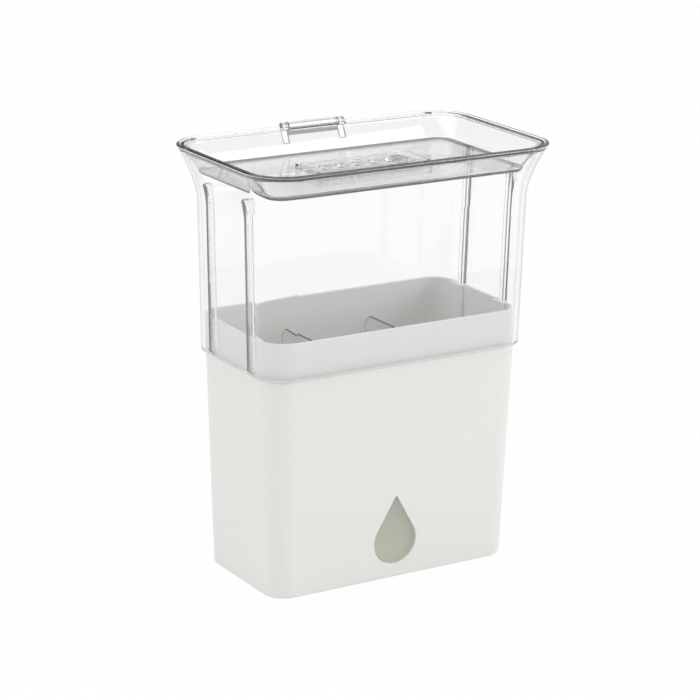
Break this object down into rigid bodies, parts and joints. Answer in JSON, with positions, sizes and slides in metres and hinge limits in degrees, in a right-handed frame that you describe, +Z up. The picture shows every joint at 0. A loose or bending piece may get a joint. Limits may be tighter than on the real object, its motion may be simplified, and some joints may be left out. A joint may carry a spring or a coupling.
{
  "type": "herb keeper",
  "caption": "Free-standing herb keeper: tapered water base with a drop-shaped window, lift-off clear hood with a flared rim, hinged recessed lid with a sliding vent, removable dividers",
  "frame": {"origin": "middle of the underside of the base, on the surface it stands on", "axes": "+Z up, +X along the wide side, -Y towards the front with the drop window, +Y towards the lid hinge"},
  "size_m": [0.18, 0.11, 0.2323],
  "materials": {
    "white_plastic": "satin white moulded plastic",
    "clear_plastic": "clear polished plastic",
    "window_plastic": "clear moulded plastic",
    "divider_plastic": "clear moulded plastic",
    "slider_plastic": "clear moulded plastic",
    "pin_plastic": "clear moulded plastic",
    "seal_rubber": "pale soft rubber"
  },
  "bodies": {
    "base": {"base_body": "white_plastic", "window_seal": "seal_rubber", "window_lens": "window_plastic"},
    "left_divider": {"divider_left": "divider_plastic"},
    "right_divider": {"divider_right": "divider_plastic"},
    "hood": {"hood": "clear_plastic", "hinge_pin": "pin_plastic"},
    "lid": {"lid": "clear_plastic"},
    "vent": {"vent_slider": "slider_plastic"}
  },
  "joints": [
    {"name": "hood_lift", "type": "slide", "parent": "base", "child": "hood", "axis": [0, 0, 1], "range_m": [0, 0.06]},
    {"name": "lid_hinge", "type": "hinge", "parent": "hood", "child": "lid", "pos_m": [0, 0.0529, 0.2302], "axis": [-1, 0, 0], "range_deg": [0, 100]},
    {"name": "vent_slide", "type": "slide", "parent": "lid", "child": "vent", "axis": [1, 0, 0], "range_m": [0, 0.005]},
    {"name": "left_divider_lift", "type": "slide", "parent": "base", "child": "left_divider", "axis": [0, 0, 1], "range_m": [0, 0.088]},
    {"name": "right_divider_lift", "type": "slide", "parent": "base", "child": "right_divider", "axis": [0, 0, 1], "range_m": [0, 0.088]}
  ]
}
